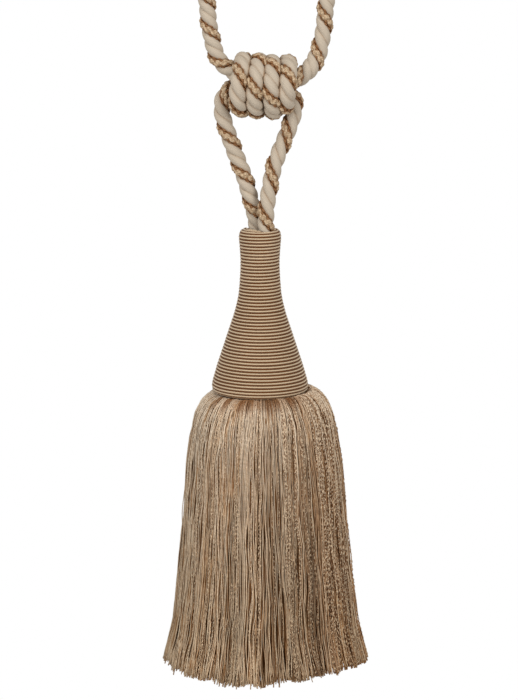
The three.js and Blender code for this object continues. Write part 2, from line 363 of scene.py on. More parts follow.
def soft_rows(rng, rows, count, slow, fast, strength=1.0):
    """Smooth random curves, one to a row: waves from slow to fast over the row, strength their usual size."""
    share = np.linspace(0, 1, count)
    waves = np.arange(slow, fast + 1)[:, None] * rng.uniform(0.8, 1.2, (rows, fast - slow + 1, 1))
    starts = rng.uniform(0, TURN, waves.shape)
    return strength * np.sin(TURN * waves * share + starts).sum(axis=1) / math.sqrt(waves.shape[1] / 2)


# ---------------------------------------------------------------- materials

WARM = (1.0, 0.86, 0.7)
GOLDEN = (1.0, 0.78, 0.52)
# How yarns are twisted: threads round one, threads and fibres to a metre, and the fibres' share of the shade.
CORD_TWIST = (2, 300, 300, 0.7)
COTTON_TWIST = (9, 70, 300, 0.7)
SMOOTH_TWIST = (2, 330, 1100, 0.7)
CRIMPED_TWIST = (2, 900, 1400, 0.55)
INNER_TWIST = (2, 330, 1100, 0.6)
# Places of a mix node's colour sockets among its inputs and its outputs.
MIX_FIRST, MIX_SECOND, MIX_RESULT = 6, 7, 2


def add_node(tree, kind, inputs=(), **values):
    """A node with these values. Each of the inputs is linked to a socket, or is given a value."""
    node = tree.nodes.new(kind)
    for name, value in values.items():
        setattr(node, name, value)
    for name, value in dict(inputs).items():
        if isinstance(value, bpy.types.NodeSocket):
            tree.links.new(value, node.inputs[name])
        else:
            node.inputs[name].default_value = value
    return node


def new_material(name, roughness, sheen=0.0, gloss=0.5, tint=(1.0, 1.0, 1.0)):
    """A material with a bare Principled shader. Returns the material, its nodes and the shader."""
    material = bpy.data.materials.new(name)
    material.use_nodes = True
    tree = material.node_tree
    tree.nodes.clear()
    finish = {
        "Roughness": roughness,
        "Sheen Weight": sheen,
        "Sheen Roughness": 0.5,
        "Sheen Tint": (*tint, 1),
        "Specular IOR Level": gloss,
        "Specular Tint": (*tint, 1),
    }
    shader = add_node(tree, "ShaderNodeBsdfPrincipled", finish)
    add_node(tree, "ShaderNodeOutputMaterial", {"Surface": shader.outputs["BSDF"]})
    return material, tree, shader


def twisted_yarn_group():
    """Threads twisted round a yarn, with uneven fibres: a shade from 0 to 1, which is its height too."""
    name = "Twisted yarn"
    if name in bpy.data.node_groups:
        return bpy.data.node_groups[name]
    group = bpy.data.node_groups.new(name, "ShaderNodeTree")
    sockets = (
        ("Threads", 3.0, "Threads side by side round the yarn"),
        ("Threads per Metre", 200.0, "Threads crossed in a metre along the yarn"),
        ("Fibre Scale", 900.0, "Fibres to a metre along the yarn"),
        ("Fibre Share", 0.5, "How much of the shade the fibres make, against the threads"),
    )
    for label, value, description in sockets:
        socket = group.interface.new_socket(name=label, in_out="INPUT", socket_type="NodeSocketFloat")
        socket.default_value = value
        socket.description = description
    group.interface.new_socket(name="Shade", in_out="OUTPUT", socket_type="NodeSocketFloat")

    def maths(operation, *values):
        node = add_node(group, "ShaderNodeMath", dict(enumerate(values)), operation=operation)
        return node.outputs["Value"]

    given = add_node(group, "NodeGroupInput").outputs
    yarn_map = add_node(group, "ShaderNodeUVMap", uv_map="yarn")
    split = add_node(group, "ShaderNodeSeparateXYZ", {"Vector": yarn_map.outputs["UV"]})
    around = maths("MULTIPLY", split.outputs["X"], given["Threads"])
    phase = maths("MULTIPLY_ADD", split.outputs["Y"], given["Threads per Metre"], around)
    threads = maths("MULTIPLY_ADD", maths("SINE", maths("MULTIPLY", phase, TURN)), 0.5, 0.5)
    # The fibres follow the threads. A large multiple of the place makes them differ from yarn to yarn.
    fibres_to_a_thread = 2.3
    change_with_place = (37.0, 37.0, 37.0)
    fibre_place = {
        "X": maths("MULTIPLY", phase, fibres_to_a_thread),
        "Y": maths("MULTIPLY", split.outputs["Y"], given["Fibre Scale"]),
    }
    stretched = add_node(group, "ShaderNodeCombineXYZ", fibre_place)
    place = add_node(group, "ShaderNodeTexCoord").outputs["Object"]
    moves = {0: place, 1: change_with_place, 2: stretched.outputs["Vector"]}
    placed = add_node(group, "ShaderNodeVectorMath", moves, operation="MULTIPLY_ADD")
    grain = {"Vector": placed.outputs["Vector"], "Scale": 1.0, "Detail": 3.0}
    fibres = add_node(group, "ShaderNodeTexNoise", grain)
    contrast = {"Value": fibres.outputs["Fac"], "From Min": 0.3, "From Max": 0.7}
    spread = add_node(group, "ShaderNodeMapRange", contrast)
    both = {"Factor": given["Fibre Share"], "A": threads, "B": spread.outputs["Result"]}
    mix = add_node(group, "ShaderNodeMix", both, data_type="FLOAT")
    add_node(group, "NodeGroupOutput", {"Shade": mix.outputs["Result"]})
    return group


def yarn_shade(tree, threads, per_metre, fibre_scale, fibre_share):
    """The shade that the node group gives with these values."""
    values = {
        "Threads": threads,
        "Threads per Metre": per_metre,
        "Fibre Scale": fibre_scale,
        "Fibre Share": fibre_share,
    }
    return add_node(tree, "ShaderNodeGroup", values, node_tree=twisted_yarn_group()).outputs["Shade"]


def knobs_shade(tree, size):
    """Little knobs about this size all over a surface: 1 on a knob and 0 between them."""
    place = add_node(tree, "ShaderNodeTexCoord").outputs["Object"]
    cells = add_node(tree, "ShaderNodeTexVoronoi", {"Scale": 1 / size, "Vector": place})
    to_height = {"Value": cells.outputs["Distance"], "From Min": 0.75, "From Max": 0.15}
    return add_node(tree, "ShaderNodeMapRange", to_height).outputs["Result"]


def colour_between(tree, factor, dark, light):
    """The colour on the way from dark to light. Each of them is a socket or three numbers."""
    ends = [c if isinstance(c, bpy.types.NodeSocket) else (*c, 1.0) for c in (dark, light)]
    colours = {"Factor": factor, MIX_FIRST: ends[0], MIX_SECOND: ends[1]}
    return add_node(tree, "ShaderNodeMix", colours, data_type="RGBA").outputs[MIX_RESULT]


def bump_from(tree, shader, height, strength, distance):
    given = {"Strength": strength, "Distance": distance, "Height": height}
    bump = add_node(tree, "ShaderNodeBump", given)
    tree.links.new(bump.outputs["Normal"], shader.inputs["Normal"])


def cord_material(name, finish, shade_of, colours, bump):
    """A cord's material: dark to light by its shade, and the low colour where its rise is 0.

    The finish is its roughness, sheen and gloss, and the bump its strength and its height in metres.
    """
    material, tree, shader = new_material(name, *finish, WARM)
    low, dark, light = colours
    shade = shade_of(tree)
    # Where the rise is low, the low colour paints shade; on the golden ply's brown threads it is their
    # colour.
    rise = add_node(tree, "ShaderNodeAttribute", attribute_name="rise").outputs["Fac"]
    colour = colour_between(tree, rise, low, colour_between(tree, shade, dark, light))
    tree.links.new(colour, shader.inputs["Base Color"])
    bump_from(tree, shader, shade, *bump)
    return material


def head_cord(name, colours, roughness, sheen):
    """A satin cord of the head, with painted shade under the rim."""
    finish = (roughness, sheen, 0.3)
    bump = (0.6, 0.00001)
    return cord_material(name, finish, lambda tree: yarn_shade(tree, *CORD_TWIST), colours, bump)


def cream_cotton(settings):
    """Soft cotton, with painted shade, darker and browner, in the creases between plies and turns."""
    light = np.array(settings.cream)
    colours = (light * np.array(settings.crease), light * 0.92, light * 1.05)
    finish = (0.85, 0.2, 0.2)
    bump = (0.5, 0.00004)
    return cord_material("cream cotton", finish, lambda tree: yarn_shade(tree, *COTTON_TWIST), colours, bump)


def golden_gimp(settings):
    """The braided ply: knobbly, tan where the threads stand out, and painted shade, dark brown, in hollows.
    """
    tan = np.array(settings.gimp_light)
    colours = (tuple(settings.gimp_dark), tan * (0.62, 0.56, 0.5), tan * 1.15)
    finish = (0.6, 0.0, 0.25)
    bump = (0.9, 0.0003)
    return cord_material("golden gimp", finish, lambda tree: knobs_shade(tree, settings.knob), colours, bump)


def toned_yarn(name, roughness, gloss, twist, shade_low, bump_distance, tint=WARM):
    """Skirt yarn: each yarn's tone with its painted light and shade, shaded by its twist and fibres."""
    material, tree, shader = new_material(name, roughness, 0.0, gloss, tint)
    shade = yarn_shade(tree, *twist)
    tone = add_node(tree, "ShaderNodeAttribute", attribute_name="tone").outputs["Color"]
    darker = {0: tone, 1: (shade_low, shade_low * 0.9, shade_low * 0.8)}
    dark = add_node(tree, "ShaderNodeVectorMath", darker, operation="MULTIPLY").outputs["Vector"]
    tree.links.new(colour_between(tree, shade, dark, tone), shader.inputs["Base Color"])
    bump_from(tree, shader, shade, 0.6, bump_distance)
    return material


def shade_filling(name, colour):
    """The dull packed yarn inside the plies, knot, head and skirt, dark as painted shade, a little uneven."""
    material, tree, shader = new_material(name, 0.9, 0.0, 0.05, WARM)
    place = add_node(tree, "ShaderNodeTexCoord").outputs["Object"]
    noise = add_node(tree, "ShaderNodeTexNoise", {"Scale": 900.0, "Vector": place})
    colour = np.array(colour)
    mixed = colour_between(tree, noise.outputs["Fac"], colour * 0.6, colour * 1.3)
    tree.links.new(mixed, shader.inputs["Base Color"])
    return material


# ---------------------------------------------------------------- settings


def length_property(name, description, default_mm):
    size = default_mm * MM
    return FloatProperty(name=name, description=description, unit="LENGTH", min=0, default=size, precision=5)


def angle_property(name, description, default):
    return FloatProperty(name=name, description=description, subtype="ANGLE", default=default)


def share_property(name, description, default):
    return FloatProperty(name=name, description=description, default=default, min=0)


def count_property(name, description, default):
    return IntProperty(name=name, description=description, default=default, min=1)


def power_property(name, description, default):
    return FloatProperty(name=name, description=description, unit="POWER", default=default)


def colour_property(name, description, default):
    return FloatVectorProperty(
        name=name, description=description, subtype="COLOR", size=3, min=0, max=1, default=default
    )


class TiebackRope(bpy.types.PropertyGroup):
    """The rope and its binding."""

    diameter: length_property("Rope diameter", "Across the laid rope", 9.0)
    ply_radius: length_property("Ply radius", "Half the thickness of one of the three plies", 2.6)
    ply_offset: length_property("Ply offset", "From the rope's middle to a ply's middle", 2.07)
    lay: length_property("Lay", "Length of rope for one turn of a ply", 20.0)
    braid_radius: length_property("Braid radius", "From the golden ply's middle out to its threads", 2.3)
    braid_repeat: length_property("Braid repeat", "Length of ply in which its tan threads cross twice", 8.3)
    tan_radius: length_property("Tan thread radius", "Half the width of the golden ply's tan threads", 1.05)
    tan_swing: angle_property("Tan swing", "How far round the ply a tan thread swings", 0.33)
    thread_weave: length_property("Thread weave", "How far tan threads move out and in to cross", 0.18)
    brown_radius: length_property("Brown thread radius", "Half the width of its brown threads", 0.55)
    edge_angle: angle_property("Edge angle", "How far round the ply the inner brown threads lie", 0.74)
    bead: length_property("Bead", "How far the threads swell and sink from one bead to the next", 0.28)
    knob: length_property("Knob", "Across the little knobs of the tan threads", 1.2)
    thread_flatness: share_property("Flatness", "Thickness of a thread against its width", 0.75)
    cream: colour_property("Cream", "Cotton plies", (0.446, 0.374, 0.29))
    # Crease is painted shade, in the creases between plies and turns and in the knot's filling.
    crease: colour_property("Crease", "How much of each colour is left in a crease", (0.79, 0.60, 0.44))
    # Tan threads darken towards the brown threads' own colour between knobs and low down: painted shade.
    gimp_light: colour_property("Tan thread", "Golden ply where it stands out", (0.51, 0.382, 0.25))
    gimp_dark: colour_property("Brown thread", "Golden ply at its edges and hollows", (0.195, 0.082, 0.028))


class TiebackHead(bpy.types.PropertyGroup):
    """The wound head."""

    row_pitch: length_property("Row pitch", "From one cream row to the next along the head", 1.84)
    cream_radius: length_property("Cream cord radius", "Half the thickness of the cream cord", 0.47)
    brown_radius: length_property("Brown cord radius", "Half the thickness of the brown cord", 0.47)
    brown_sink: length_property("Brown cord sink", "How much deeper the brown cord lies", 0.2)
    lean: angle_property("Lean", "How far the rows slope down to the right", math.radians(0.9))
    cream: colour_property("Cream cord", "Light rows", (0.51, 0.378, 0.238))
    brown: colour_property("Brown cord", "Dark rows", (0.111, 0.036, 0.0075))
    # Under the rim both cords take the underside colour, which is painted shade.
    under: colour_property("Underside", "Both cords under the rim", (0.22, 0.115, 0.05))


class TiebackSkirt(bpy.types.PropertyGroup):
    """The skirt of cut yarns."""

    yarn_radius: length_property("Yarn radius", "Half the thickness of a smooth yarn", 0.30)
    wander: length_property("Wander", "How far a yarn strays from its bundle", 0.1)
    crimped_radius: length_property("Crimped yarn radius", "Half the thickness of a crimped yarn", 0.36)
    crimp: length_property("Crimp", "How far a crimped yarn kinks to each side", 0.17)
    crimp_pitch: length_property("Crimp pitch", "From one kink of a crimped yarn to the next", 2.1)
    outer_yarns: count_property("Outer yarns", "Smooth yarns in the outer layer", 520)
    loose_yarns: count_property("Loose yarns", "Smooth yarns that wander over the others", 44)
    crimped_yarns: count_property("Crimped yarns", "Crimped yarns in the outer layer", 190)
    second_yarns: count_property("Second yarns", "Smooth yarns just under them", 460)
    deep_yarns: count_property("Deep yarns", "Smooth yarns further in", 380)
    inner_ends: count_property("Inner ends", "Yarn ends seen inside the hem", 420)
    clumps: count_property("Clumps", "Wide groups of yarns", 60)
    bundles: count_property("Bundles", "Narrow groups in which yarns run together", 230)
    closed: share_property("Closed", "How rarely a bundle draws together, leaving a gap", 0.4)
    taupe: colour_property("Taupe", "Smooth light yarn", (0.96, 0.84, 0.65))
    fawn: colour_property("Fawn", "Smooth warmer yarn", (0.81, 0.637, 0.434))
    bronze: colour_property("Bronze", "Smooth brown yarn", (0.50, 0.31, 0.165))
    # Golden is the crimped yarn's colour with a painted highlight on its kinks; the hollow is painted shade.
    golden: colour_property("Golden", "Crimped yarn where it kinks outwards", (1.0, 0.84, 0.62))
    crimp_hollow_shade: colour_property("Golden hollow", "Crimped yarn in its kinks inwards", (0.22, 0.092, 0.028))
    # Root is painted shade under the head.
    root: colour_property("Root", "Share of each colour kept under the head", (0.31, 0.165, 0.074))
    # Crease is painted shade on a yarn's sides, where yarns lie on each other.
    crease: colour_property("Crease", "Share of each colour kept at a yarn's sides", (0.54, 0.275, 0.098))
    # The core's near-black is painted shade.
    core: colour_property("Core", "Packed yarn inside", (0.075, 0.03, 0.01))
    # The second and deep layers keep only these shares of their colour, as painted shade.
    second_light: share_property("Second layer", "Share of colour kept under the outer yarns", 0.72)
    deep_light: share_property("Deep layer", "Share of colour kept further in", 0.45)
    seed: IntProperty(name="Seed", description="Changes how the yarns fall", default=7)


class TiebackStage(bpy.types.PropertyGroup):
    """Floor and light."""

    floor_drop: length_property("Floor drop", "From the hook down to the floor", 620.0)
    floor_radius: length_property("Floor radius", "Half the width of the round floor", 380.0)
    key_power: power_property("Key light", "Power of the left light", 23.5)
    fill_power: power_property("Fill light", "Power of the right light", 22.2)
    top_power: power_property("Top light", "Power of the light from above", 5.2)
    ambient: share_property("Surroundings", "Strength of the light from all round", 0.43)


# ---------------------------------------------------------------- rope

# Distance between the points of a ply, in millimetres. The cream plies need only every third point, and
# the golden ply's core every fourth.
PLY_STEP = 0.38
CREAM_THINNING = 3
CORE_THINNING = 4
CREAM_PLY_SIDES = 14
# From the bottom of a crease to its edge, over which the painted shade of the crease fades.
CREASE_WIDTH = 1.1
# The rope is thicker by a share where its right arm comes out of the knot, and thinner by a share where it
# enters the head, each over a length in millimetres. The binding is thicker all along.
SPREAD_AT_KNOT, SPREAD_LENGTH = 0.13, 9
DRAWN_AT_HEAD, DRAWN_LENGTH = 0.09, 6
WOUND_SWELL = 1.06
BINDING_CORE_SIDES = 32
# The golden ply: how much its threads swell and sway with the beads, the angle of its outer brown threads
# as a multiple of the inner ones', and the radius of its core as a share of the braid's.
TAN_SWELL, BROWN_SWELL, BROWN_SWAY = 0.2, 0.3, 0.14
OUTER_EDGE = 1.75
THREAD_SIDES = 6
GOLDEN_CORE, GOLDEN_CORE_SIDES = 0.85, 8
# A tan thread's rise goes from its least to 1 within this height, which starts under the braid's radius.
# A brown thread's rise goes up far more slowly, and stays below a tan one's least.
TAN_LOW, TAN_HEIGHT, BROWN_HEIGHT = -0.2, 0.6, 6
LEAST_TAN = 0.1


def rope_line(step):
    """The rope's middle line, from the head up the left leg, round the loop and down the right leg."""
    stretches = (LEFT_LEG, CROSS_TO_RIGHT_ARM, LOOP[::-1], CROSS_TO_RIGHT_LEG, RIGHT_LEG)
    return smooth_line(metres([point for stretch in stretches for point in stretch]), step)


def length_at(line, along, point):
    """How far along the line its nearest place to the point is."""
    return along[np.linalg.norm(line - metres(point), axis=1).argmin()]


def length_at_height(line, along, height, within):
    """How far along the line it passes this height, between two lengths."""
    distance = np.abs(line[:, 2] - height * MM)
    distance = np.where((along >= within[0]) & (along <= within[1]), distance, np.inf)
    return along[distance.argmin()]


def counted_turns(along, places, lay):
    """Turns of the plies along a line: whole at each place, about one to a lay in between, and smoothed."""
    turns = [0.0]
    for before, after in zip(places[:-1], places[1:]):
        turns.append(turns[-1] + max(1, round((after - before) / lay)))
    beyond = 8
    more = np.arange(1, beyond + 1)
    counts = np.concatenate([-more[::-1], turns, turns[-1] + more])
    places = np.concatenate([places[0] - lay * more[::-1], places, places[-1] + lay * more])
    counted = np.interp(along, places, counts)
    smoothed_over = 0.35 * lay
    width = max(1, round(smoothed_over / (along[1] - along[0]))) | 1
    padded = np.pad(counted, width // 2, mode="reflect", reflect_type="odd")
    return np.convolve(padded, np.ones(width) / width, mode="valid")


def ply_line(line, outward, turns, share, offset):
    """The middle of one ply, and its way out from the line. The golden ply faces outward at whole turns.

    The share is how far round the line from the golden ply it lies: 0 is the golden ply itself.
    """
    normals, binormals = axes_along(line, outward)
    angle = -TURN * (turns - share)[:, None]
    away = np.cos(angle) * normals + np.sin(angle) * binormals
    return line + away * np.reshape(offset, (-1, 1)), away


def clear_of_other_turns(rings, line, reach):
    """From 0 to 1, how far each vertex stands clear of the other turns of its own line."""
    along = lengths_along(line)
    clear = np.ones(rings.shape[:3])
    for place in range(len(line)):
        others = line[np.abs(along - along[place]) > 4 * reach]
        apart = np.linalg.norm(rings[:, place, :, None] - others, axis=-1).min(axis=-1)
        clear[:, place] = np.clip((apart - reach) / (CREASE_WIDTH * MM), 0, 1)
    return clear


def cream_plies(line, outward, turns, swell, settings):
    """The two cream plies. Their rise is 0 in the creases between plies and turns, and 1 clear of them."""
    offset = settings.ply_offset * swell
    plies = [ply_line(line, outward, turns, share, offset) for share in (1 / 3, 2 / 3)]
    lines, aways = (np.array(found) for found in zip(*plies))
    plump = settings.ply_radius * np.broadcast_to(swell, len(line))
    rings = tube_rings(lines, aways, np.array([plump, plump]), CREAM_PLY_SIDES)
    mesh = tube_mesh(rings)
    stand = np.linalg.norm(rings - line[None, :, None, :], axis=-1) / swell[None, :, None]
    crease = settings.ply_offset * 0.5 + math.sqrt(settings.ply_radius**2 - 0.75 * settings.ply_offset**2)
    rise = np.clip((stand - crease) / (CREASE_WIDTH * MM), 0, 1)
    reach = settings.ply_offset + settings.ply_radius
    # The rise paints shade in the creases between plies and between turns.
    give_value(mesh, "rise", np.minimum(rise, clear_of_other_turns(rings, line, reach)))
    return mesh


def golden_ply(line, outward, turns, swell, settings):
    """The golden ply's threads, with their rise, which paints shade where they lie low, and its core.

    On the ply's outward face two tan threads cross again and again, so they form a row of beads. Two brown
    threads run along each side. The inner one lies low beside a bead, and high and close in beside a
    crossing.
    """
    middle, away = ply_line(line, outward, turns, 0.0, settings.ply_offset * swell)
    normals, binormals = axes_along(middle, away)
    phase = TURN * lengths_along(middle + settings.braid_radius * normals) / settings.braid_repeat
    bead = -np.cos(2 * phase)
    threads, facing, widths = [], [], []

    def add_thread(turned, radius, width):
        facing.append(np.cos(turned)[:, None] * normals + np.sin(turned)[:, None] * binormals)
        threads.append(middle + radius[:, None] * facing[-1])
        widths.append(width)

    for side in (1, -1):
        turned = side * settings.tan_swing * np.sin(phase)
        woven = side * settings.thread_weave * np.cos(phase)
        stand = settings.braid_radius + woven + settings.bead / 2 * bead
        add_thread(turned, stand, settings.tan_radius * (1 + TAN_SWELL * bead))
    for share, way in ((1.0, 1), (OUTER_EDGE, -1)):
        for side in (1, -1):
            turned = side * (settings.edge_angle * share + BROWN_SWAY * way * bead)
            stand = settings.braid_radius - way * settings.bead * bead
            add_thread(turned, stand, settings.brown_radius * (1 - BROWN_SWELL * way * bead))
    flatness = settings.thread_flatness
    rings = tube_rings(np.array(threads), np.array(facing), np.array(widths), THREAD_SIDES, flatness)
    height = np.linalg.norm(rings - middle[None, :, None, :], axis=-1) - settings.braid_radius
    # The rise paints shade on the tan threads where they lie low; the brown threads stay near their brown.
    rise = np.clip((height - TAN_LOW * MM) / (TAN_HEIGHT * MM), LEAST_TAN, 1)
    rise[2:] = np.clip(height[2:] / (BROWN_HEIGHT * MM), 0.0, LEAST_TAN)
    mesh = tube_mesh(rings)
    give_value(mesh, "rise", rise)
    inside = settings.braid_radius * GOLDEN_CORE
    thinned = [rows[None, ::CORE_THINNING] for rows in (middle, away)]
    return mesh, tube_mesh(tube_rings(*thinned, inside, GOLDEN_CORE_SIDES))


class TIEBACK_OT_rope(bpy.types.Operator):
    """Lays up the rope of two cream plies and a golden one, and winds the same rope into the knot"""

    bl_idname = "tieback.rope"
    bl_label = "Rope and binding"

    def execute(self, context):
        settings = context.scene.tieback_rope
        self.settings = settings
        self.cream = cream_cotton(settings)
        self.golden = golden_gimp(settings)
        # The golden ply's core takes the brown threads' colour as painted shade between them.
        self.dark = shade_filling("golden ply core", tuple(settings.gimp_dark))
        rope, *pieces = self.lay_rope() + self.wind_binding()
        return {"FINISHED"}

    def lay_up(self, kind, line, outward, turns, swell, replaced):
        """Places the plies along a line: the two cream ones, the golden one and its core."""
        thinned = [rows[::CREAM_THINNING] for rows in (line, outward, turns, swell)]
        cream = cream_plies(*thinned, self.settings)
        golden, core = golden_ply(line, outward, turns, swell, self.settings)
        return [
            place_piece(f"{kind}_cream_plies", cream, self.cream, replaced),
            place_piece(f"{kind}_golden_ply", golden, self.golden),
            place_piece(f"{kind}_golden_ply_core", core, self.dark),
        ]

    def lay_rope(self):
        line = rope_line(PLY_STEP * MM)
        along = lengths_along(line)
        stretches = (
            (FRONTS_LEFT_LEG, LEFT_LEG[0], LEFT_LEG[-1]),
            (FRONTS_RIGHT_ARM, LOOP[-1], LOOP_TOP),
            (FRONTS_LEFT_ARM, LOOP_TOP, LOOP[0]),
            (FRONTS_RIGHT_LEG, RIGHT_LEG[0], RIGHT_LEG[-1]),
        )
        places = []
        for heights, first, last in stretches:
            within = sorted(length_at(line, along, point) for point in (first, last))
            places += [length_at_height(line, along, height, within) for height in heights]
        if places != sorted(places):
            raise RuntimeError("the golden ply's places are out of order along the rope")
        turns = counted_turns(along, places, self.settings.lay)
        front = np.broadcast_to((0.0, -1.0, 0.0), line.shape)
        from_knot = along - length_at(line, along, LOOP_FOOT)
        from_head = np.minimum(along, along[-1] - along)
        swell = 1 + SPREAD_AT_KNOT * np.exp(-((from_knot / (SPREAD_LENGTH * MM)) ** 2))
        swell -= DRAWN_AT_HEAD * np.exp(-((from_head / (DRAWN_LENGTH * MM)) ** 2))
        replaced = ("rope_loop", "rope_leg_left", "rope_leg_right")
        return self.lay_up("rope", line, front, turns, swell, replaced)

    def wind_binding(self):
        line, unwound = winding_line(PLY_STEP * MM)
        along = lengths_along(line)
        facing = TURN_COLUMNS.index("faces_out")
        wanted = [angle - 360 * index for index, row in enumerate(TURNS) for angle in row[facing]]
        places = list(np.interp(-np.array(wanted, float), -unwound, along))
        turns = counted_turns(along, places, self.settings.lay)
        axis = np.array((0.0, 0.0, BINDING_HEIGHT * MM))
        outward = (line - axis) * (0, 1, 1)
        swell = np.full(len(line), WOUND_SWELL)
        pieces = self.lay_up("binding", line, outward, turns, swell, ("knot_binding",))
        # The knot's filling takes the cream's crease colour: painted shade.
        shaded = shade_filling("knot core", np.array(self.settings.cream) * self.settings.crease)
        core = lathe_mesh(metres(BINDING_CORE), BINDING_CORE_SIDES, axis, along_x=True)
        return [*pieces, place_piece("binding_core", core, shaded)]


def on_turn(x, degrees, radius):
    """A point of the binding from its place along the axis, its angle and its distance from the axis."""
    angle = math.radians(degrees)
    return (x, -radius * math.sin(angle), BINDING_HEIGHT + radius * math.cos(angle))


def winding_line(step):
    """The binding's middle line, and the angle from the top towards the front at each of its points.

    The angle falls all along the line, by 360 degrees for each turn.
    """
    route = [on_turn(*row) for row in RIGHT_TUCK]
    turns = [dict(zip(TURN_COLUMNS, row)) for row in TURNS]
    for turn, after in zip(turns, turns[1:] + [None]):
        route.append(on_turn(turn["bottom"], 180, turn["foot"]))
        route.append(on_turn(turn["low"], 135, (turn["foot"] + TURN_RADIUS) / 2))
        route.append(on_turn(turn["front"], 90, TURN_RADIUS))
        route.append(on_turn(turn["high"], 45, (turn["crown"] + TURN_RADIUS) / 2))
        route.append(on_turn(turn["top"], 0, turn["crown"]))
        if after:
            for quarter in (0.25, 0.5, 0.75):
                x = turn["top"] + quarter * (after["bottom"] - turn["top"])
                radius = turn["crown"] + quarter * (after["foot"] - turn["crown"])
                route.append(on_turn(x, -180 * quarter, radius))
    route += [on_turn(*row) for row in LEFT_TUCK]
    line = smooth_line(metres(route), step)
    angle = np.degrees(np.unwrap(np.arctan2(-line[:, 1], line[:, 2] - BINDING_HEIGHT * MM)))
    return line, angle + 360 * round((RIGHT_TUCK[0][1] - angle[0]) / 360)


# ---------------------------------------------------------------- head

# Distance between the points of the outline in millimetres, points in one row, and the angle in degrees
# from +X towards the back at which the first row starts.
HEAD_STEP = 0.1
POINTS_TO_A_ROW = 60
FIRST_ROW_STARTS = 200
# How each cord strays in place, depth and thickness: slowest and fastest wave over the head, and usual size.
PLACE_STRAYS = (1, 160, 0.016 * MM)
DEPTH_STRAYS = (1, 120, 0.012 * MM)
THICKNESS_STRAYS = (1, 200, 0.03)
# How far the cords stand out of the outline.
STANDS_OUT = 0.2
# Past the rim the cords turn to the underside's colour, which is painted shade, over one fade, which
# ends this many fades past it.
UNDER_RIM_SHADE_FADE = 1.2
FADES_PAST_RIM = 3
# The core lies this deep under the outline, with every sixteenth of its points, and starts below the mouth.
HEAD_CORE_DEPTH, HEAD_CORE_TOP = 0.9, -221.5
HEAD_CORE_THINNING = 16
CORE_SIDES = 72


def head_profile():
    """The head's outline as a fine line, radius and height, and its outward directions."""
    line = smooth_line(metres(HEAD_OUTLINE), HEAD_STEP * MM)
    tangents = tangents_of(line)
    return line, np.stack([-tangents[:, 1], tangents[:, 0]], axis=1)


def mouth_reach(angle):
    """From the head's axis to the edge of its mouth, which fits both legs of the rope."""
    ends = np.array((LEFT_LEG[0], RIGHT_LEG[-1]))[:, :2]
    across = ends[0] - ends[1]
    half = np.linalg.norm(across) / 2 * MM
    radius = MOUTH_RADIUS * MM
    turned = angle - math.atan2(across[1], across[0])
    straight = radius / np.maximum(np.abs(np.sin(turned)), 1e-6)
    inside = np.maximum(radius**2 - (half * np.sin(turned)) ** 2, 0)
    rounded = half * np.abs(np.cos(turned)) + np.sqrt(inside)
    return np.where(straight * np.abs(np.cos(turned)) < half, straight, rounded)


def round_axis(flat, angle):
    """Points or directions round an upright axis, from their distance to it, their height and their angle."""
    return np.stack([flat[:, 0] * np.cos(angle), flat[:, 0] * np.sin(angle), flat[:, 1]], axis=1)


def wound_cord(settings, radius, sink, start_share, rng):
    """One cord wound from the mouth to the underside, at a share of the row pitch from the first row."""
    profile, outward = head_profile()
    along = lengths_along(profile)
    rows = along[-1] / settings.row_pitch - 1
    count = int(rows * POINTS_TO_A_ROW)
    turn = np.arange(count) / POINTS_TO_A_ROW
    angle = -TURN * turn + math.radians(FIRST_ROW_STARTS)
    place = (turn + start_share) * settings.row_pitch
    place += soft_rows(rng, 1, count, *PLACE_STRAYS)[0]
    place += np.interp(place, along, profile[:, 0]) * np.cos(angle) * math.tan(settings.lean)
    place = np.clip(place, 0, along[-1])
    depth = radius + sink - STANDS_OUT * MM + soft_rows(rng, 1, count, *DEPTH_STRAYS)[0]
    flat = np.stack(columns_at(place, along, profile), axis=1)
    way = unit(np.stack(columns_at(place, along, outward), axis=1))
    inset = flat - way * depth[:, None]
    # Where the mouth would cut the cord, it is pushed out past the edge and down over the dome.
    inside = np.maximum(0, mouth_reach(angle) + radius - inset[:, 0])
    inset = inset + inside[:, None] * (1.0, -1.1)
    line = round_axis(inset, angle)
    line[:, 0] += HEAD_X * MM
    thickness = radius * (1 + soft_rows(rng, 1, count, *THICKNESS_STRAYS)[0])
    mesh = tube_mesh(tube_rings(line[None], round_axis(way, angle)[None], thickness[None], THREAD_SIDES))
    rim = along[np.argmax(profile[:, 0])]
    rise = np.clip((rim - place) / (UNDER_RIM_SHADE_FADE * MM) + FADES_PAST_RIM, 0, 1)
    give_value(mesh, "rise", np.repeat(rise, THREAD_SIDES))
    return mesh


